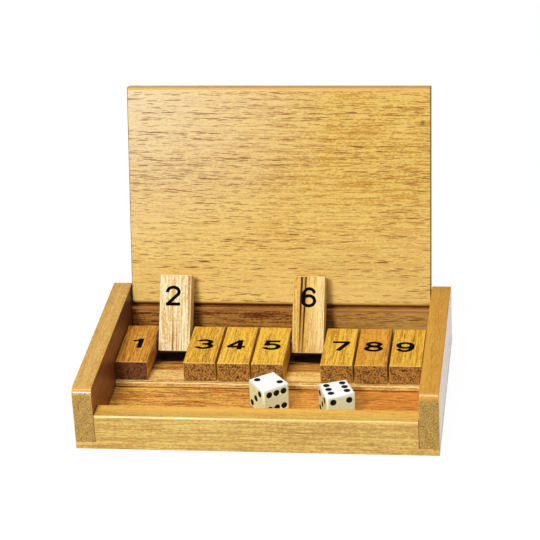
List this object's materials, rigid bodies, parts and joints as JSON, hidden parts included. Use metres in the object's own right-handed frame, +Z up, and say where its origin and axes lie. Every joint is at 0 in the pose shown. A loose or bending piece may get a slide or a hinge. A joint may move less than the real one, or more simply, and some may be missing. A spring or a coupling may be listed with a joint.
{
  "type": "shut the box game",
  "caption": "Shallow wooden game case with a hinged lid, numbered flip tiles on a steel rod and two loose dice in its tray.",
  "frame": {"origin": "centre of the case's underside", "axes": "+X to the right along the row of tiles, +Y to the back where the lid is hinged, +Z up"},
  "size_m": [0.188, 0.1551, 0.1417],
  "materials": {
    "base_wood": "varnished hardwood",
    "side_wood": "varnished hardwood",
    "front_wood": "varnished hardwood",
    "back_wood": "varnished hardwood",
    "rest_wood": "varnished hardwood",
    "tile_wood": "varnished hardwood",
    "raised_tile_wood": "varnished pale hardwood",
    "lid_wood": "varnished hardwood",
    "steel": "plain drawn steel",
    "ivory": "polished ivory white with black pips"
  },
  "bodies": {
    "case": {"base_panel": "base_wood", "side_left": "side_wood", "side_right": "side_wood", "front_rail": "front_wood", "back_rail": "back_wood", "tile_rest": "rest_wood", "tile_rod": "steel", "lid_pin_left": "steel", "lid_pin_right": "steel"},
    "lid": {"lid": "lid_wood"},
    "tile_1": {"tile_1": "tile_wood"},
    "tile_2": {"tile_2": "raised_tile_wood"},
    "tile_3": {"tile_3": "tile_wood"},
    "tile_4": {"tile_4": "tile_wood"},
    "tile_5": {"tile_5": "tile_wood"},
    "tile_6": {"tile_6": "raised_tile_wood"},
    "tile_7": {"tile_7": "tile_wood"},
    "tile_8": {"tile_8": "tile_wood"},
    "tile_9": {"tile_9": "tile_wood"},
    "die_left": {"die_left": "ivory"},
    "die_right": {"die_right": "ivory"}
  },
  "joints": [
    {"name": "lid_hinge", "type": "hinge", "parent": "case", "child": "lid", "pos_m": [0, 0.0582, 0.02817], "axis": [-1, 0, 0], "range_deg": [-107.38, 0]},
    {"name": "tile_1_flip", "type": "hinge", "parent": "case", "child": "tile_1", "pos_m": [0, 0.03365, 0.01295], "axis": [-1, 0, 0], "range_deg": [0, 122.28]},
    {"name": "tile_2_flip", "type": "hinge", "parent": "case", "child": "tile_2", "pos_m": [0, 0.03365, 0.01295], "axis": [-1, 0, 0], "range_deg": [-122.28, 0]},
    {"name": "tile_3_flip", "type": "hinge", "parent": "case", "child": "tile_3", "pos_m": [0, 0.03365, 0.01295], "axis": [-1, 0, 0], "range_deg": [0, 122.28]},
    {"name": "tile_4_flip", "type": "hinge", "parent": "case", "child": "tile_4", "pos_m": [0, 0.03365, 0.01295], "axis": [-1, 0, 0], "range_deg": [0, 122.28]},
    {"name": "tile_5_flip", "type": "hinge", "parent": "case", "child": "tile_5", "pos_m": [0, 0.03365, 0.01295], "axis": [-1, 0, 0], "range_deg": [0, 122.28]},
    {"name": "tile_6_flip", "type": "hinge", "parent": "case", "child": "tile_6", "pos_m": [0, 0.03365, 0.01295], "axis": [-1, 0, 0], "range_deg": [-122.28, 0]},
    {"name": "tile_7_flip", "type": "hinge", "parent": "case", "child": "tile_7", "pos_m": [0, 0.03365, 0.01295], "axis": [-1, 0, 0], "range_deg": [0, 122.28]},
    {"name": "tile_8_flip", "type": "hinge", "parent": "case", "child": "tile_8", "pos_m": [0, 0.03365, 0.01295], "axis": [-1, 0, 0], "range_deg": [0, 122.28]},
    {"name": "tile_9_flip", "type": "hinge", "parent": "case", "child": "tile_9", "pos_m": [0, 0.03365, 0.01295], "axis": [-1, 0, 0], "range_deg": [0, 122.28]},
    {"name": "die_left_lift", "type": "slide", "parent": "case", "child": "die_left", "axis": [0, 0, 1], "range_m": [0, 0.12]},
    {"name": "die_right_lift", "type": "slide", "parent": "case", "child": "die_right", "axis": [0, 0, 1], "range_m": [0, 0.12]}
  ],
  "couplings": [
    {"joint": "tile_2_flip", "follows": "lid_hinge", "ratio": 1.1387},
    {"joint": "tile_6_flip", "follows": "lid_hinge", "ratio": 1.1387}
  ]
}
